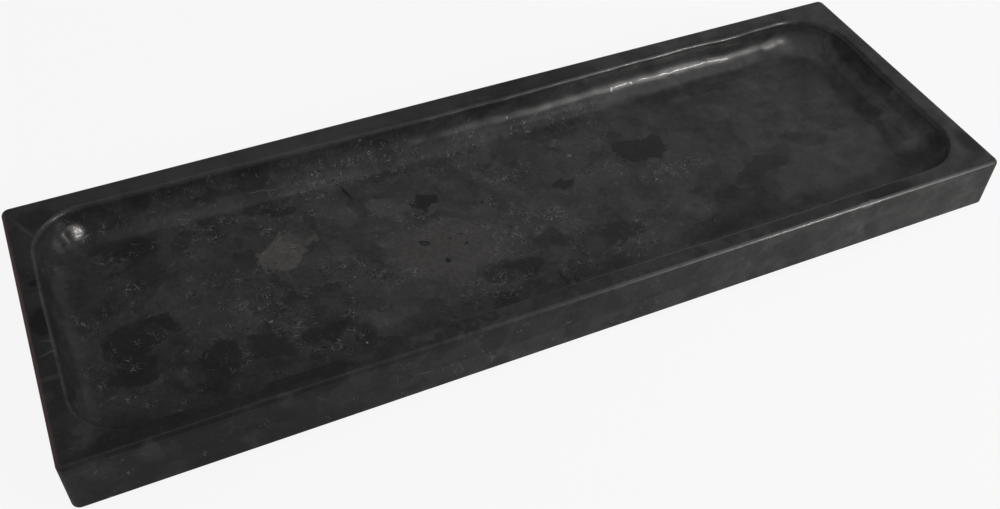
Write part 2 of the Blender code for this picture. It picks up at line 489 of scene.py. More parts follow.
# The patches of flecks, each as the first values of FleckField
FLECK_FIELDS = (
    (-98, 29, 9, 8), (-121, 14, 4, 6), (-88, -8, 16, 12), (-70, -30, 14, 4), (-97, -26, 6, 5),
    (-62, -2, 10, 8), (-76, 24, 7, 8), (-58, 34, 12, 7), (-35, 37, 16, 8), (-4, 34, 10, 6), (-2, -7, 14, 9),
    (-22, -28, 16, 8), (-36, 8, 8, 5), (-8, 7, 4, 4), (28, -28, 12, 6), (9, -28, 4, 7), (58, -2, 16, 5),
    (17, 35, 6, 4), (-128, -15, 4, 4), (-83, -19, 6, 5), (-104, 8, 5, 5), (-50, -9, 7, 5), (-10, -13, 10, 9),
    (6, -7, 9, 8), (37, 14, 5, 7), (50, -4, 9, 4), (13, -14, 6, 5), (38, 34, 12, 5), (-133, 40, 5, 4),
)


@dataclass(frozen=True)
class StoneFinish:
    """Honed near-black stone made of broken, cemented pieces, with flecks, fine veins, warm tints and painted
    light.
    """

    name: str = "black_stone"
    clasts: tuple = tuple(Clast(*row) for row in CLASTS)
    marks: tuple = tuple(Mark(*row) for row in MARKS)
    fleck_fields: tuple = tuple(FleckField(*row) for row in FLECK_FIELDS)
    scuffs: tuple = (
        Scuff(-132.8, 40.0, 13.5, 6.0, 0.25, 0.6),
        Scuff(-138.6, 38.4, 14.0, 3.6, 0.9, 0.1),
        Scuff(125.5, 41.4, 13.8, 8.0, 0.8, 0.15),
    )

    # Shades, and how strongly each thing lightens or darkens the stone
    ground_shade: float = 0.039
    fleck_shade: float = 0.27
    # The shade of the painted highlight on stretches of the rim's eased edges
    edge_highlight_shade: float = 0.11
    pit_shade: float = 0.010
    pit_strength: float = 0.75
    left_edge_tint: tuple = (1.9, 0.85, 0.76, 1.0)
    floor_lift: float = 0.38
    lift_at_left: float = 0.1
    lift_lost_in_calm: float = 0.7
    large_contrast: float = 0.34
    small_contrast: float = 0.30
    cloud_contrast: float = 0.42
    darkening: float = 0.35
    dark_lost_in_calm: float = 0.4
    fine_contrast: float = 0.9
    fine_lost_in_calm: float = 0.4
    broad_contrast: float = 0.45
    broad_gained_in_calm: float = 0.85
    face_darkening: float = 0.16
    # Painted light on the front face towards its right end, and its ragged patches
    face_painted_light: float = 0.12
    face_bright_patches: float = 0.44
    face_dim: float = 0.09
    face_left: float = 0.32
    rosiness: float = 0.6

    # Ramps along the tray, across it and up it, in millimetres from its middle and from the table
    calm_along: tuple = (15.0, 95.0)
    lift_along: tuple = (-125.0, -75.0)
    floor_heights: tuple = (11.6, 10.4)
    # Where painted light lightens the pocket's right wall
    wall_from: tuple = (133.0, 142.0)
    wall_to: tuple = (148.0, 146.5)
    wall_heights: tuple = (20.8, 19.0)
    wall_across: tuple = (49.0, 47.0)
    left_edge_tint_along: tuple = (-150.9, -151.9)
    left_edge_tint_heights: tuple = (19.2, 20.2)
    face_across: tuple = (-50.2, -50.9)
    face_painted_light_along: tuple = (30.0, 65.0)
    face_dim_along: tuple = (85.0, 130.0)
    face_left_along: tuple = (-100.0, -135.0)
    cove_heights: tuple = (11.0, 14.0)
    rim_heights: tuple = (17.0, 20.0)
    under_heights: tuple = (3.2, 2.7)

    # Warps: how wide the swirls are, how far they push, and their detail
    fold: tuple = (13.0, 14.0)
    crease: tuple = (3.5, 4.0, 1.5)
    mark_warp: tuple = (4.0, 1.6, 1.0)
    grain_warp: tuple = (6.0, 5.0)
    patch_warp: tuple = (5.0, 6.0)
    seam_warp: tuple = (9.0, 12.0)
    stroke_warp: tuple = (2.4, 1.2)

    # The broken ground: cell sizes, and the pull that gives its fragments angular edges
    break_size: float = 3.0
    break_pull: float = 0.35
    large_size: float = 18.0
    small_size: float = 7.0
    dark_step: tuple = (0.80, 0.86)
    ground_cloud: Mottle = Mottle(8.0, 3.0, 0.55, (0.30, 0.70))
    rosy_cloud: Mottle = Mottle(30.0, step=(0.62, 0.74))
    fine_grain: Mottle = Mottle(1.5, 3.0, 0.65)
    broad_grain: Mottle = Mottle(5.5, 3.0, 0.55)
    face_patches: Mottle = Mottle(9.0, 3.0, 0.6, (0.42, 0.62))

    # Where flecks lie, and their strokes: each a spacing, a reach and a half width
    loose_flecks: Mottle = Mottle(12.0, 3.0, 0.6, (0.52, 0.62))
    ragged: Mottle = Mottle(5.0, 3.0, 0.6)
    raggedness: float = 1.6
    loose_strength: float = 0.6
    fewer_in_cove: float = 0.45
    fewer_on_rim: float = 0.35
    field_step: tuple = (1.1, 0.55)
    seam_size: float = 24.0
    seam_step: tuple = (0.09, 0.02)
    seam_gaps: Mottle = Mottle(10.0, step=(0.46, 0.56))
    fleck_gaps: Mottle = Mottle(3.2, step=(0.40, 0.60))
    long_strokes: tuple = (1.7, 1.30, 0.11)
    short_strokes: tuple = (1.0, 0.75, 0.09)
    short_strength: float = 0.8
    dots: Mottle = Mottle(0.65, 1.0, step=(0.66, 0.74))
    dot_strength: float = 0.8
    fleck_least: float = 0.12
    fleck_level: Mottle = Mottle(2.4, 1.0, step=(0.36, 0.68))
    pits: Mottle = Mottle(0.95, 1.5, 0.6, (0.44, 0.34))
    # Gaps in the painted highlight on the rim's eased edges
    edge_highlight_gaps: Mottle = Mottle(2.5, step=(0.2, 0.5))

    # The polish, and the fine relief, whose heights and depths are in millimetres
    gloss_level: float = 0.25
    polish: float = 0.15
    polish_roughness: float = 0.08
    streaks: Mottle = Mottle(0.8, step=(0.42, 0.58))
    streak_stretch: tuple = (0.3, 1.0, 1.0)
    roughness: float = 0.28
    haze: Mottle = Mottle(5.0, 3.0)
    haze_roughness: float = 0.06
    fleck_roughness: float = 0.1
    sawn_roughness: float = 0.6
    sawn_lift: float = 1.3
    saw_marks: Mottle = Mottle(0.9, 3.0)
    saw_stretch: tuple = (1.0, 0.03, 1.0)
    saw_shade: float = 0.01
    relief: Mottle = Mottle(0.45)
    relief_height: float = 0.002
    fleck_depth: float = 0.004
    pit_depth: float = 0.006
    saw_depth: float = 0.03
    relief_distance: float = 0.001

    def build(self) -> bpy.types.Material:
        """Makes the material.

        Returns:
            The finished stone material.
        """
        material = bpy.data.materials.new(self.name)
        sheet = ShaderSheet(material)
        flat = sheet.millimetres()
        along, across, height = (sheet.channel(flat, axis) for axis in "XYZ")
        calm = along.ramp(*self.calm_along)
        bent = sheet.warp(sheet.warp(flat, *self.fold), *self.crease)
        broken = self._broken(sheet, bent)
        shade, tint = self._ground(sheet, bent, broken, calm)
        shade, tint = self._lay(sheet, broken, self.clasts, shade, tint)
        shade = shade * self._grain(sheet, flat, calm) * self._front_face(sheet, flat, along, across)
        shade = self._lighten(shade, along, across, height, calm)
        patchy = self.fleck_gaps.draw(sheet, flat) * self._fleck_ground(sheet, flat, height, calm)
        flecks = self._flecks(sheet, flat, patchy)
        pits = self.pits.draw(sheet, flat) * patchy
        shade = sheet.mix(pits * self.pit_strength, shade, self.pit_shade)
        shade = sheet.mix(flecks, shade, self.fleck_shade)
        shade, tint = self._lay(sheet, sheet.warp(flat, *self.mark_warp), self.marks, shade, tint)
        # Painted highlight: lightens the base colour along stretches of the rim's eased edges
        edge_highlight = Signal(sheet, sheet.add("ShaderNodeAttribute", {"attribute_name": "edge_highlight"}).outputs["Fac"])
        shade = sheet.mix(edge_highlight * self.edge_highlight_gaps.draw(sheet, flat), shade, self.edge_highlight_shade)
        # A warm tint along the left top edge
        left_edge_tinted = along.ramp(*self.left_edge_tint_along) * height.ramp(*self.left_edge_tint_heights)
        tint = sheet.mix_colour(left_edge_tinted, tint, self.left_edge_tint)
        under = height.ramp(*self.under_heights)
        saw = self.saw_marks.draw(sheet, sheet.vector(VectorStep.MULTIPLY, flat, self.saw_stretch))
        shade = sheet.mix(under, shade, shade * self.sawn_lift + saw * self.saw_shade)
        haze = self.haze.draw(sheet, flat) * self.haze_roughness
        rough = sheet.mix(under, self.roughness + haze + flecks * self.fleck_roughness, self.sawn_roughness)
        relief = self.relief.draw(sheet, flat) * self.relief_height - flecks * self.fleck_depth
        relief = relief - pits * self.pit_depth + under * saw * self.saw_depth
        sockets = {
            "Base Color": sheet.vector(VectorStep.SCALE, tint, shade),
            "Roughness": rough,
            "Normal": sheet.bump(relief, self.relief_distance),
            "Specular IOR Level": self.gloss_level,
            "Coat Weight": (1.0 - under) * (1.0 - self._scuffs(sheet, flat)) * self.polish,
            "Coat Roughness": self.polish_roughness,
        }
        sheet.principled(sockets)
        return material

    def _broken(self, sheet: ShaderSheet, bent: Socket) -> Socket:
        """Coordinates drawn towards the middles of small cells, which gives the fragments angular edges."""
        middle = sheet.cells(bent, self.break_size, CellReading.MIDDLE)
        step = sheet.vector(VectorStep.SUBTRACT, middle, bent)
        return sheet.vector(VectorStep.ADD, bent, sheet.vector(VectorStep.SCALE, step, self.break_pull))

    def _ground(self, sheet: ShaderSheet, bent: object, broken: object, calm: Signal) -> tuple:
        """The stone between the clasts.

        It has fragments of two sizes, cloudy inside, some of them dark or rosy, and is calmer at the right.

        Returns:
            The shade and the tint.
        """
        large = sheet.channel(sheet.cells(broken, self.large_size, CellReading.SHADE), "X") - 0.5
        small = sheet.channel(sheet.cells(broken, self.small_size, CellReading.SHADE), "Y")
        cloud = self.ground_cloud.draw(sheet, bent) - 0.5
        dark = small.ramp(*self.dark_step) * (1.0 - calm * self.dark_lost_in_calm)
        fragments = 1.0 + large * self.large_contrast + (small - 0.5) * self.small_contrast
        shade = self.ground_shade * (fragments + cloud * self.cloud_contrast)
        rosy = self.rosy_cloud.draw(sheet, bent) * self.rosiness
        tint = sheet.mix_colour(rosy, Hue.GREY.value, Hue.ROSE.value)
        return shade * (1.0 - dark * self.darkening), tint

    @staticmethod
    def _lay(sheet: ShaderSheet, vector: object, pieces: tuple, shade: Signal, tint: object) -> tuple:
        """Lays clasts or marks over the stone, each an ellipsoid that is soft by its blur.

        Args:
            sheet: the material's sheet.
            vector: the coordinates that the pieces lie on.
            pieces: the clasts or the marks, from the lowest to the uppermost.
            shade: the stone's shade.
            tint: the stone's tint.

        Returns:
            The shade and the tint with the pieces in them.
        """
        for piece in pieces:
            outline = sheet.radius(vector, piece).ramp(1.0 + piece.blur, 1.0 - piece.blur)
            mask = outline * piece.strength
            shade = sheet.mix(mask, shade, piece.shade)
            tint = sheet.mix_colour(mask, tint, piece.hue.value)
        return shade, tint

    def _grain(self, sheet: ShaderSheet, flat: Socket, calm: Signal) -> Signal:
        """The fine mottle that runs through every fragment, as a factor about 1."""
        fine = self.fine_grain.draw(sheet, flat) - 0.5
        fine = fine * (self.fine_contrast - calm * self.fine_lost_in_calm)
        broad = self.broad_grain.draw(sheet, sheet.warp(flat, *self.grain_warp)) - 0.5
        broad = broad * (self.broad_contrast + calm * self.broad_gained_in_calm)
        return 1.0 + fine + broad

    def _front_face(self, sheet: ShaderSheet, flat: object, along: Signal, across: Signal) -> Signal:
        """Front face: darker than rim, painted light towards the right in ragged patches, lighter at the
        left.
        """
        patches = self.face_patches.draw(sheet, sheet.warp(flat, *self.patch_warp)) * self.face_bright_patches
        # Painted light: the front face grows lighter towards its right end, in ragged patches, then a little
        # less so near the end
        lighter = along.ramp(*self.face_painted_light_along) * (self.face_painted_light + patches)
        lighter = lighter - along.ramp(*self.face_dim_along) * self.face_dim
        lighter = lighter + along.ramp(*self.face_left_along) * self.face_left - self.face_darkening
        return 1.0 + across.ramp(*self.face_across) * lighter

    def _lighten(self, shade: Signal, along: Signal, across: Signal, height: Signal, calm: Signal) -> Signal:
        """Lightens the floor away from its ends, and paints light onto the pocket's right wall."""
        floor = height.ramp(*self.floor_heights) * (1.0 - calm * self.lift_lost_in_calm)
        lift = self.lift_at_left + along.ramp(*self.lift_along) * (1.0 - self.lift_at_left)
        shade = shade * (1.0 + floor * lift * self.floor_lift)
        # Painted light on the pocket's right wall, which the lamps leave dark
        wall = along.ramp(*self.wall_from) * along.ramp(*self.wall_to) * height.ramp(*self.wall_heights)
        return shade * (1.0 + wall * abs(across).ramp(*self.wall_across))

    def _fleck_ground(self, sheet: ShaderSheet, flat: object, height: Signal, calm: Signal) -> Signal:
        """Where flecks lie close together: in the fleck fields, along some seams and in random patches."""
        ragged = (self.ragged.draw(sheet, flat) - 0.5) * self.raggedness
        cracks = sheet.cells(sheet.warp(flat, *self.seam_warp), self.seam_size, CellReading.BORDER)
        seams = Signal(sheet, cracks).ramp(*self.seam_step) * self.seam_gaps.draw(sheet, flat)
        where = (self.loose_flecks.draw(sheet, flat) * self.loose_strength).at_least(seams)
        in_cove = 1.0 - height.ramp(*self.cove_heights) * self.fewer_in_cove
        where = where * (1.0 - calm) * (in_cove - height.ramp(*self.rim_heights) * self.fewer_on_rim)
        for patch in self.fleck_fields:
            where = where.at_least((sheet.radius(flat, patch) + ragged).ramp(*self.field_step))
        return where

    def _flecks(self, sheet: ShaderSheet, flat: Socket, ground: Signal) -> Signal:
        """Short light strokes, bent a little, in two sizes, and a few dots, on the fleck ground."""
        near = sheet.warp(flat, *self.stroke_warp)
        short = sheet.shards(near, *self.short_strokes) * self.short_strength
        strokes = sheet.shards(near, *self.long_strokes).at_least(short)
        dots = self.dots.draw(sheet, flat) * self.dot_strength
        level = self.fleck_least + self.fleck_level.draw(sheet, flat) * (1.0 - self.fleck_least)
        return strokes.at_least(dots) * ground * level

    def _scuffs(self, sheet: ShaderSheet, flat: Socket) -> Signal:
        """Where fine streaks along the tray have dulled the polish, as a share from 0 to 1."""
        streaks = self.streaks.draw(sheet, sheet.vector(VectorStep.MULTIPLY, flat, self.streak_stretch))
        first, *others = (scuff.dulled(sheet, flat, streaks) for scuff in self.scuffs)
        for other in others:
            first = first.at_least(other)
        return first


@dataclass(frozen=True)
class RubberFinish:
    """Matt black moulded rubber."""

    name: str = "pad_rubber"
    shade: float = 0.018
    roughness: float = 0.72
    grain: Mottle = Mottle(0.25)
    grain_height: float = 0.00005
    grain_strength: float = 0.6
    dust: Mottle = Mottle(2.5, 3.0, step=(0.5, 0.75))
    dust_lift: float = 2.2
    dust_roughness: float = 0.12

    def build(self) -> bpy.types.Material:
        """Makes the material: dark, rough, with a fine moulded grain and a little dust."""
        material = bpy.data.materials.new(self.name)
        sheet = ShaderSheet(material)
        flat = sheet.millimetres()
        grain = self.grain.draw(sheet, flat)
        dust = self.dust.draw(sheet, flat)
        clean, dusty = ((shade, shade, shade, 1.0) for shade in (self.shade, self.shade * self.dust_lift))
        colour = sheet.mix_colour(dust, clean, dusty)
        normal = sheet.bump(grain, self.grain_height, self.grain_strength)
        rough = self.roughness + dust * self.dust_roughness
        sheet.principled({"Base Color": colour, "Roughness": rough, "Normal": normal})
        return material


@dataclass(frozen=True)
class AdhesiveFinish:
    """Pale foam adhesive, seen only at its edge."""

    name: str = "pad_adhesive"
    pale: tuple = (0.62, 0.60, 0.54, 1.0)
    dark: tuple = (0.40, 0.38, 0.33, 1.0)
    roughness: float = 0.6
    pore_size: float = 0.16
    pore_wall: tuple = (0.02, 0.12)
    pore_depth: float = 0.00003
    pore_strength: float = 0.5
    pore_roughness: float = 0.2

    def build(self) -> bpy.types.Material:
        """Makes the material: pale, with the small open cells of foam."""
        material = bpy.data.materials.new(self.name)
        sheet = ShaderSheet(material)
        flat = sheet.millimetres()
        pores = Signal(sheet, sheet.cells(flat, self.pore_size, CellReading.BORDER)).ramp(*self.pore_wall)
        colour = sheet.mix_colour(pores, self.pale, self.dark)
        normal = sheet.bump(1.0 - pores, self.pore_depth, self.pore_strength)
        rough = self.roughness + pores * self.pore_roughness
        sheet.principled({"Base Color": colour, "Roughness": rough, "Normal": normal})
        return material


@dataclass(frozen=True)
class RoundedLoop:
    """Stations round a rectangle with round corners, anticlockwise from the middle of its right side.

    A station has the shares of the straight reach, from -1 to 1 each way, and the heading of its
    outward normal. A ring of any half sizes and corner radius is then
    side * (half - radius) + radius * (cos heading, sin heading).
    """

    per_length: int = 340
    per_width: int = 96
    per_corner: int = 36

    def stations(self) -> tuple:
        """The loop's stations.

        Returns:
            Three arrays: the share along X, the share along Y and the heading.
        """
        across = np.linspace(-1.0, 1.0, self.per_width, endpoint=False)
        along = np.linspace(-1.0, 1.0, self.per_length, endpoint=False)
        turn = np.linspace(0.0, math.pi / 2, self.per_corner, endpoint=False)
        straight = {0: (1.0, across), 1: (-along, 1.0), 2: (-1.0, -across), 3: (along, -1.0)}
        corner = {0: (1.0, 1.0), 1: (-1.0, 1.0), 2: (-1.0, -1.0), 3: (1.0, -1.0)}
        shares_x, shares_y, headings = [], [], []
        for quarter in range(4):
            count = self.per_width if quarter % 2 == 0 else self.per_length
            shares_x += [np.broadcast_to(straight[quarter][0], count)]
            shares_y += [np.broadcast_to(straight[quarter][1], count)]
            headings += [np.full(count, quarter * math.pi / 2)]
            shares_x += [np.full(self.per_corner, corner[quarter][0])]
            shares_y += [np.full(self.per_corner, corner[quarter][1])]
            headings += [quarter * math.pi / 2 + turn]
        return np.concatenate(shares_x), np.concatenate(shares_y), np.concatenate(headings)


@dataclass(frozen=True)
class Swell:
    """A place where the hand-finished pocket wall stands out of true, as a bell over a stretch of wall.

    The bell may also fade away from a height, over its spread.
    """

    x: float
    y: float
    reach: float
    push: float
    height: float = 0.015
    spread: float = 1.0


@dataclass(frozen=True)
class Facet:
    """A place that a tool left flat: its middle, its normal's heading and rise, its reach and flatness."""

    x: float
    y: float
    z: float
    heading: float
    rise: float
    reach: float
    flatness: float = 1.0

    def flatten(self, points: np.ndarray) -> np.ndarray:
        """Draws points towards the facet's plane, by flatness * exp(-(r / reach)^4)."""
        normal = np.array(direction(self.heading, self.rise))
        away = points - np.array([self.x, self.y, self.z])
        distance = np.linalg.norm(away, axis=1)
        share = self.flatness * np.exp(-((distance / self.reach) ** 4))
        off_plane = away @ normal
        off_plane -= off_plane[np.argmin(distance)]
        return points - (share * off_plane)[:, None] * normal


@dataclass(frozen=True)
class EdgeHighlight:
    """A stretch of the rim's edges with a painted highlight: an ellipse in plan and how strong the highlight
    is.
    """

    x: float
    y: float
    reach_x: float
    reach_y: float
    edge_highlight: float


def direction(heading: float, rise: float) -> tuple:
    """The unit direction with that heading from the front and that rise, both in degrees."""
    heading, rise = math.radians(heading), math.radians(rise)
    across = math.cos(rise)
    return math.sin(heading) * across, -math.cos(heading) * across, math.sin(rise)


def linked(name: str, data: bpy.types.ID) -> bpy.types.Object:
    """A new object with this data, in the scene."""
    obj = bpy.data.objects.new(name, data)
    bpy.context.scene.collection.objects.link(obj)
    return obj


def mesh_object(name: str, points: np.ndarray, faces: np.ndarray, smooth_angle: float) -> bpy.types.Object:
    """Makes a closed mesh object from arrays, with doubles merged and faces turned outwards.

    Args:
        name: the object's name.
        points: an array of points, one row each, in metres.
        faces: an array of quads, one row of four point numbers each.
        smooth_angle: the angle in radians above which an edge stays sharp.

    Returns:
        The new object, at the origin.
    """
    mesh = bpy.data.meshes.new(name)
    mesh.from_pydata(points.tolist(), [], faces.tolist())
    bm = bmesh.new()
    bm.from_mesh(mesh)
    bmesh.ops.remove_doubles(bm, verts=bm.verts, dist=MERGE_DISTANCE)
    bmesh.ops.recalc_face_normals(bm, faces=bm.faces)
    bm.to_mesh(mesh)
    bm.free()
    mesh.shade_smooth()
    mesh.set_sharp_from_angle(angle=smooth_angle)
    return linked(name, mesh)


def skin(rows: int, columns: int) -> np.ndarray:
    """Quads over a grid of points that is closed along its columns.

    Args:
        rows: how many rings the grid has.
        columns: how many points each ring has.

    Returns:
        An array of quads, each joining two neighbours of one ring to those of the next.
    """
    ring, station = np.meshgrid(np.arange(rows - 1), np.arange(columns), indexing="ij")
    after = (station + 1) % columns
    corners = [ring * columns + station, ring * columns + after]
    corners += [(ring + 1) * columns + after, (ring + 1) * columns + station]
    return np.stack([corner.ravel() for corner in corners], axis=1)


def arc(steps: int) -> np.ndarray:
    """The angles of a quarter turn in even steps, both ends included."""
    return np.linspace(0.0, math.pi / 2, steps + 1)


@dataclass
class CarvedSlab:
    """The tray's body: one slab whose pocket was machined and then finished by hand."""

    low: Vector
    high: Vector
    corner_radius: float = 0.0025
    top_ease: float = 0.0013
    under_ease: float = 0.0008
    end_rim: float = 0.007
    front_rim: float = 0.0066
    back_rim: float = 0.0082
    pocket_corner: float = 0.0165
    corner_difference: float = 0.0009
    rim_ease: float = 0.0011
    rim_drop: float = 0.0015
    ease_bulge: float = 1.6
    wall_drop: float = 0.0001
    cove: float = 0.0095
    swells: tuple = (
        Swell(-0.005, 0.0428, 0.045, -0.00125),
        Swell(0.055, 0.0428, 0.030, -0.00015),
        Swell(0.070, 0.0428, 0.032, 0.00050, 0.0213, 0.0028),
        Swell(0.107, 0.0428, 0.0075, -0.00060, 0.0213, 0.0035),
        Swell(0.130, 0.0428, 0.014, 0.00060),
        Swell(0.1455, -0.004, 0.022, -0.0012, 0.0170, 0.0036),
        Swell(0.1455, -0.034, 0.008, -0.0006, 0.0170, 0.0036),
        Swell(-0.060, -0.0444, 0.030, -0.0002),
        Swell(0.070, -0.0444, 0.025, 0.0002),
        Swell(-0.1455, 0.010, 0.018, 0.0003),
        Swell(0.1455, -0.020, 0.015, -0.0003),
    )
    facets: tuple = (
        Facet(-0.1370, 0.0376, 0.0136, 55.0, 36.0, 0.0030, 0.75),
        Facet(-0.1326, 0.0403, 0.0134, 26.7, 34.4, 0.0040),
        Facet(0.1235, 0.0414, 0.0138, -3.1, 32.0, 0.0034, 0.45),
        Facet(0.0800, 0.0406, 0.0141, -2.0, 31.0, 0.0010),
        Facet(0.0945, 0.0407, 0.0140, 3.0, 42.0, 0.0009),
    )
    # Stretches of the rim's eased edges that get a painted highlight
    edge_highlights: tuple = (
        EdgeHighlight(-0.1465, 0.006, 0.006, 0.022, 0.42),
        EdgeHighlight(-0.1430, -0.030, 0.008, 0.012, 0.30),
        EdgeHighlight(-0.1400, 0.038, 0.005, 0.005, 0.30),
        EdgeHighlight(0.0600, -0.0452, 0.050, 0.002, 2.4),
        EdgeHighlight(0.0900, -0.0506, 0.060, 0.0015, 0.5),
    )
    ripple_height: float = 0.000028
    ripple_lengths: tuple = (0.007, 0.03)
    ripple_waves: int = 14
    ripple_seed: int = 7
    edge_highlight_power: float = 0.45
    smooth_angle: float = 40.0
    under_rings: int = 8
    under_steps: int = 6
    side_rings: int = 7
    edge_steps: int = 14
    rim_shares: tuple = (0.66, 0.33)
    cove_steps: int = 26
    floor_rings: int = 13
    loop: RoundedLoop = field(default_factory=RoundedLoop)
    finish: StoneFinish = field(default_factory=StoneFinish)

    def build(self) -> bpy.types.Object:
        """Builds the slab and gives it its stone.

        Returns:
            The slab's object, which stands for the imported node.
        """
        rings = self._outside() + self._pocket()
        points = np.concatenate([self._ring(*ring) for ring in rings])
        faces = skin(len(rings), points.shape[0] // len(rings))
        for facet in self.facets:
            points = facet.flatten(points)
        obj = mesh_object("carved_slab", points, faces, math.radians(self.smooth_angle))
        self._mark_edge_highlights(obj.data)
        obj.data.materials.append(self.finish.build())
        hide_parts("stone_tray_body")
        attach(obj, BODY)
        LOG.info("%s: %d faces", obj.name, len(obj.data.polygons))
        return obj

    def _ring(self, half: tuple, radius: float, middle_y: float, height: float, carved: float) -> np.ndarray:
        """One ring of the slab.

        The ring is a rectangle with round corners. Where it belongs to the pocket, the corners at the
        right are rounder than those at the left, and the wall swells along its outward normal.

        Args:
            half: half sizes along X and Y.
            radius: the corners' mean radius.
            middle_y: where the ring's middle lies along Y.
            height: the ring's height.
            carved: how much of the hand finish the ring shows, from 0 to 1.

        Returns:
            The ring's points, one row each.
        """
        share_x, share_y, heading = self.loop.stations()
        corner = np.clip(radius + carved * self.corner_difference * share_x, 0.0, min(half))
        x = share_x * (half[0] - corner) + corner * np.cos(heading)
        y = middle_y + share_y * (half[1] - corner) + corner * np.sin(heading)
        push = sum(
            swell.push
            * np.exp(-((x - swell.x) ** 2 + (y - swell.y) ** 2) / (2 * swell.reach**2))
            * math.exp(-((height - swell.height) ** 2) / (2 * swell.spread**2))
            for swell in self.swells
        )
        ripple = self._ripple(x, y, height)
        x = x + carved * (push + ripple) * np.cos(heading)
        y = y + carved * (push + ripple) * np.sin(heading)
        return np.column_stack([x, y, np.full_like(x, height)])

    def _ripple(self, x: np.ndarray, y: np.ndarray, z: float) -> np.ndarray:
        """A faint ripple of the polished surface: a sum of sine waves with fixed random headings."""
        random = np.random.default_rng(self.ripple_seed)
        ripple = np.zeros_like(x)
        for _ in range(self.ripple_waves):
            heading = random.normal(size=3)
            wave = 2 * math.pi / random.uniform(*self.ripple_lengths)
            direction = heading / np.linalg.norm(heading) * wave
            ripple += np.sin(direction[0] * x + direction[1] * y + direction[2] * z + random.uniform(0, 7))
        return ripple * self.ripple_height

    def _mark_edge_highlights(self, mesh: bpy.types.Mesh) -> None:
        """Writes the painted highlight on each point of the rim's edges, as a point attribute.

        The painted highlight is 4 t (1 - t), with t the way down the edge to a power, times the largest
        of the stretches' bells, and at most 1.
        """
        flat = np.empty(len(mesh.vertices) * 3)
        mesh.vertices.foreach_get("co", flat)
        x, y, z = flat.reshape(-1, 3).T
        way = np.clip((self.high.z - z) / self.rim_drop, 0.0, 1.0) ** self.edge_highlight_power
        bells = [
            part.edge_highlight * np.exp(-(((x - part.x) / part.reach_x) ** 2 + ((y - part.y) / part.reach_y) ** 2) / 2)
            for part in self.edge_highlights
        ]
        edge_highlight = np.minimum(4 * way * (1 - way) * np.max(bells, axis=0), 1.0)
        mesh.attributes.new("edge_highlight", "FLOAT", "POINT").data.foreach_set("value", edge_highlight.astype(np.float32))

    def _outside(self) -> list:
        """The rings from the middle of the underside, over the lower edge and up to the rim."""
        half = ((self.high.x - self.low.x) / 2, (self.high.y - self.low.y) / 2)
        bottom, top = self.low.z, self.high.z

        def ring(inset: float, height: float) -> tuple:
            """A ring inset from the slab's sides."""
            sizes = (half[0] - inset, half[1] - inset)
            return sizes, max(self.corner_radius - inset, 0.0), 0.0, height, 0.0

        rings = []
        flat = half[1] - self.under_ease
        for share in np.linspace(1.0, 0.0, self.under_rings):
            rings.append(ring(self.under_ease + flat * share, bottom))
        for angle in arc(self.under_steps)[1:]:
            inset = self.under_ease * (1 - math.sin(angle))
            rings.append(ring(inset, bottom + self.under_ease * (1 - math.cos(angle))))
        side = np.linspace(bottom + self.under_ease, top - self.top_ease, self.side_rings + 2)[1:-1]
        rings += [ring(0.0, height) for height in side]
        for across, down in self._edge():
            rings.append(ring(self.top_ease * across, top - self.top_ease * down))
        return rings

    def _edge(self) -> list:
        """Steps over an eased edge, a quarter of a superellipse that is flatter in the middle than a circle.

        Returns:
            A pair for each step: 1 - cos(angle)^p and 1 - sin(angle)^p, with p = 2 / ease_bulge.
        """
        power = 2.0 / self.ease_bulge
        angles = arc(self.edge_steps)
        return [(1 - max(math.cos(angle), 0.0) ** power, 1 - math.sin(angle) ** power) for angle in angles]

    def _pocket(self) -> list:
        """The rings from the rim over its inner edge, down the wall and the cove, and over the floor."""
        half_x = (self.high.x - self.low.x) / 2 - self.end_rim
        half_y = (self.high.y - self.low.y - self.front_rim - self.back_rim) / 2
        middle_y = (self.front_rim - self.back_rim) / 2
        top = self.high.z

        def ring(inset: float, drop: float, carved: float = 1.0) -> tuple:
            """A ring inset from the pocket's wall."""
            sizes = (half_x - inset, half_y - inset)
            return sizes, max(self.pocket_corner - inset, 0.0), middle_y, top - drop, carved

        rings = []
        for share in self.rim_shares:
            rings.append(ring(-self.rim_ease - share * self.front_rim / 2, 0.0, 1.0 - share))
        for across, down in self._edge():
            rings.append(ring(-self.rim_ease * down, self.rim_drop * across))
        cove_top = self.rim_drop + self.wall_drop
        for angle in arc(self.cove_steps):
            rings.append(ring(self.cove * (1 - math.cos(angle)), cove_top + self.cove * math.sin(angle)))
        flat = half_y - self.cove
        for share in np.linspace(0.0, 1.0, self.floor_rings + 1)[1:]:
            rings.append(ring(self.cove + flat * share, cove_top + self.cove, (1.0 - share) ** 2))
        return rings


@dataclass
class TurnedDisc:
    """A closed round form turned about a vertical axis: the profile's radius and height at each step."""

    name: str
    profile: np.ndarray
    centre: tuple
    sides: int = 72
    smooth_angle: float = 35.0

    def build(self) -> bpy.types.Object:
        """Turns the profile: x = cx + r cos a, y = cy + r sin a, z = height."""
        angle = np.linspace(0, 2 * math.pi, self.sides, endpoint=False)
        radius, height = self.profile[:, :1], self.profile[:, 1:]
        x = self.centre[0] + radius * np.cos(angle)
        y = self.centre[1] + radius * np.sin(angle)
        z = np.broadcast_to(height, x.shape)
        points = np.stack([x, y, z], axis=-1).reshape(-1, 3)
        faces = skin(len(self.profile), self.sides)
        return mesh_object(self.name, points, faces, math.radians(self.smooth_angle))


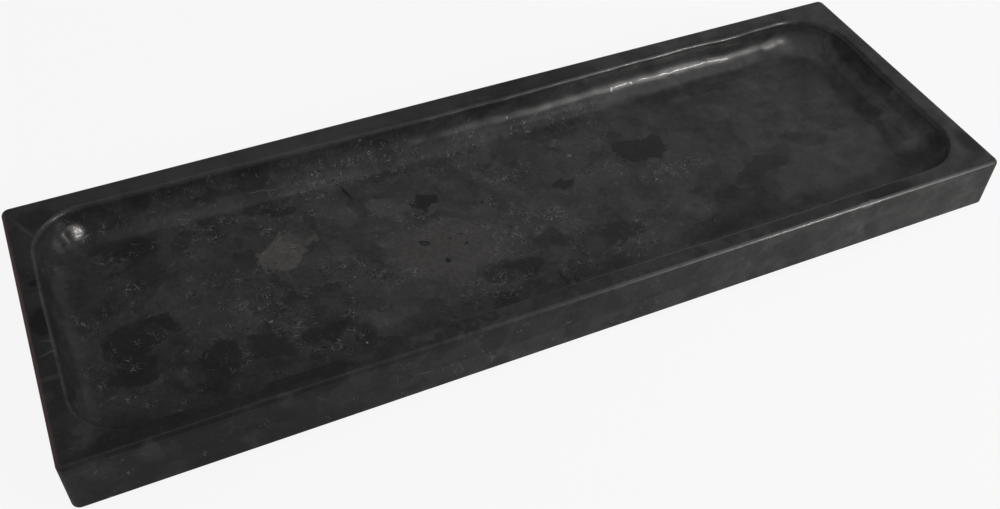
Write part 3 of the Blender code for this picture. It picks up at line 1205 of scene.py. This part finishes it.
@dataclass
class FootPads:
    """Four moulded rubber pads under the slab, each held by a disc of foam adhesive."""

    taper: float = 0.0005
    edge_round: float = 0.0003
    dish_radius: float = 0.0032
    dish_depth: float = 0.0002
    bulge: float = 0.00008
    dish_steps: int = 8
    round_steps: int = 6
    bulge_steps: int = 9
    rubber: RubberFinish = field(default_factory=RubberFinish)
    adhesive: AdhesiveFinish = field(default_factory=AdhesiveFinish)

    def build(self) -> None:
        """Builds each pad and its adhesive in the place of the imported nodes."""
        rubber, adhesive = self.rubber.build(), self.adhesive.build()
        for place in PLACES:
            self._dress(f"moulded_pad_{place}", f"pad_{place}", self._pad_profile, rubber, "pad_rubber")
            node = f"pad_adhesive_{place}"
            self._dress(f"foam_disc_{place}", node, self._disc_profile, adhesive, "pad_adhesive")

    @staticmethod
    def _dress(name: str, node: str, profile: object, material: bpy.types.Material, slot: str) -> None:
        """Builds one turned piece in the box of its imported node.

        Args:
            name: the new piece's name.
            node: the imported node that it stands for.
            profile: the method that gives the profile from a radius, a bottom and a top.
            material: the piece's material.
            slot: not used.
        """
        low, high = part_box(node)
        centre = ((low.x + high.x) / 2, (low.y + high.y) / 2)
        obj = TurnedDisc(name, profile((high.x - low.x) / 2, low.z, high.z), centre).build()
        obj.data.materials.append(material)
        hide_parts(node)
        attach(obj, BODY)
        LOG.info("%s: %d faces", obj.name, len(obj.data.polygons))

    def _pad_profile(self, radius: float, bottom: float, top: float) -> np.ndarray:
        """From the dished middle of the underside, round the lower edge and up the tapered side."""
        small = radius - self.taper
        dish = np.linspace(0.0, 1.0, self.dish_steps)
        hollow = [(self.dish_radius * s, bottom + self.dish_depth * (1 - s * s) ** 2) for s in dish]
        edge = self.edge_round
        turn = arc(self.round_steps)
        rounded = [(small - edge * (1 - math.sin(a)), bottom + edge * (1 - math.cos(a))) for a in turn]
        upper = [(radius, top - edge / 2), (radius - edge / 2, top), (0.0, top)]
        return np.array(hollow + rounded + upper)

    def _disc_profile(self, radius: float, bottom: float, top: float) -> np.ndarray:
        """A thin disc whose edge bulges a little, as squeezed foam does."""
        turn = np.linspace(-math.pi / 2, math.pi / 2, self.bulge_steps)
        half = (top - bottom) / 2
        edge = [(radius - self.bulge * (1 - math.cos(a)), bottom + half * (1 + math.sin(a))) for a in turn]
        return np.array([(0.0, bottom)] + edge + [(0.0, top)])


@dataclass(frozen=True)
class Softbox:
    """A flat lamp aimed at the tray: its heading from the front, its rise, its distance, size and brightness.

    The angles are in degrees. A brightness of 1 shows as white where it is seen in a perfect mirror.
    """

    name: str
    heading: float
    rise: float
    distance: float
    width: float
    height: float
    brightness: float
    colour: tuple = (1.0, 1.0, 1.0)
    target: tuple = (0.0, 0.0, 0.02)

    def build(self) -> bpy.types.Object:
        """Makes the lamp, turned to face its target.

        Returns:
            The lamp's object.
        """
        lamp = bpy.data.lights.new(self.name, "AREA")
        lamp.shape = "RECTANGLE"
        lamp.size, lamp.size_y = self.width, self.height
        lamp.energy = self.brightness * math.pi * self.width * self.height
        lamp.color = self.colour
        obj = linked(self.name, lamp)
        away = Vector(direction(self.heading, self.rise))
        obj.location = Vector(self.target) + away * self.distance
        obj.rotation_euler = away.to_track_quat("Z", "Y").to_euler()
        return obj


@dataclass
class Studio:
    """Pale floor, soft light and the camera of the photograph."""

    camera_place: tuple = (-0.12192, -0.23426, 0.26529)
    camera_turn: tuple = (43.6063, -1.7572, -24.3986)
    lens: float = 40.49
    sensor: float = 36.0
    floor_half: float = 6.0
    floor_shade: tuple = (0.62, 0.62, 0.62, 1.0)
    floor_seen_white: float = 0.9
    ambient: float = 0.100
    lamps: tuple = (
        Softbox("window", 33.9, 26.0, 0.80, 0.14, 0.34, 6.0, target=(0.092, 0.0428, 0.015)),
        Softbox("window_core", 33.9, 26.9, 0.80, 0.122, 0.030, 112.0, WARM, (0.092, 0.0428, 0.015)),
        Softbox("window_side", 24.5, 24.5, 0.80, 0.22, 0.30, 1.6, target=(0.025, 0.0428, 0.015)),
        Softbox("window_far", 40.5, 22.0, 0.80, 0.13, 0.30, 3.0, target=(0.125, 0.0428, 0.015)),
        Softbox("near_right", 60, 55, 0.45, 0.30, 0.30, 1.1, target=(0.13, 0.0, 0.02)),
        Softbox("right_card", 130, 24, 0.90, 0.70, 0.50, 0.22),
        Softbox("overhead", 60, 80, 0.90, 0.90, 0.90, 0.45),
        Softbox("left_wall", -98, 32, 1.60, 2.60, 1.90, 0.34),
    )

    def build(self) -> None:
        """Sets the camera, the lamps, the floor and the world."""
        self._set_camera()
        for lamp in self.lamps:
            LOG.info("lamp %s", lamp.build().name)
        self._set_floor()
        self._set_world()
        bpy.context.scene.view_settings.view_transform = "Standard"

    def _set_camera(self) -> None:
        """Puts the camera where the photograph was taken from."""
        lens = bpy.data.cameras.new("camera")
        lens.sensor_width = self.sensor
        lens.lens = self.lens
        lens.clip_start = NEAREST_SEEN
        lens.dof.use_dof = False
        obj = linked("camera", lens)
        obj.location = self.camera_place
        obj.rotation_euler = Euler([math.radians(turn) for turn in self.camera_turn], "XYZ")
        bpy.context.scene.camera = obj

    def _set_floor(self) -> None:
        """A plain pale floor under the pads, white to the camera but for the tray's shadow."""
        reach = self.floor_half
        mesh = bpy.data.meshes.new("floor")
        corners = [(-reach, -reach, 0.0), (reach, -reach, 0.0), (reach, reach, 0.0), (-reach, reach, 0.0)]
        mesh.from_pydata(corners, [], [(0, 1, 2, 3)])
        material = bpy.data.materials.new("pale_floor")
        sheet = ShaderSheet(material)
        matt = sheet.add("ShaderNodeBsdfDiffuse", None, {"Color": self.floor_shade})
        white = sheet.add("ShaderNodeEmission", None, {"Color": WHITE, "Strength": 1.0})
        share = sheet.seen_directly() * self.floor_seen_white
        shaders = {"Fac": share, "Shader": matt.outputs[0], "Shader_001": white.outputs[0]}
        sheet.surface(sheet.add("ShaderNodeMixShader", None, shaders))
        mesh.materials.append(material)
        obj = linked("floor", mesh)

    def _set_world(self) -> None:
        """White behind the tray for the camera, and a dim even light from everywhere else."""
        world = bpy.data.worlds.new("studio")
        bpy.context.scene.world = world
        sheet = ShaderSheet(world)
        strength = sheet.mix(sheet.seen_directly(), self.ambient, 1.0)
        background = sheet.add("ShaderNodeBackground", None, {"Color": WHITE, "Strength": strength})
        sheet.add("ShaderNodeOutputWorld", None, {"Surface": background.outputs[0]})


def main() -> None:
    """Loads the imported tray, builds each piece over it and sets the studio."""
    logging.basicConfig(level=logging.INFO, format="%(name)s: %(message)s")
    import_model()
    CarvedSlab(*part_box("stone_tray_body")).build()
    FootPads().build()
    Studio().build()


if __name__ == "__main__":
    main()
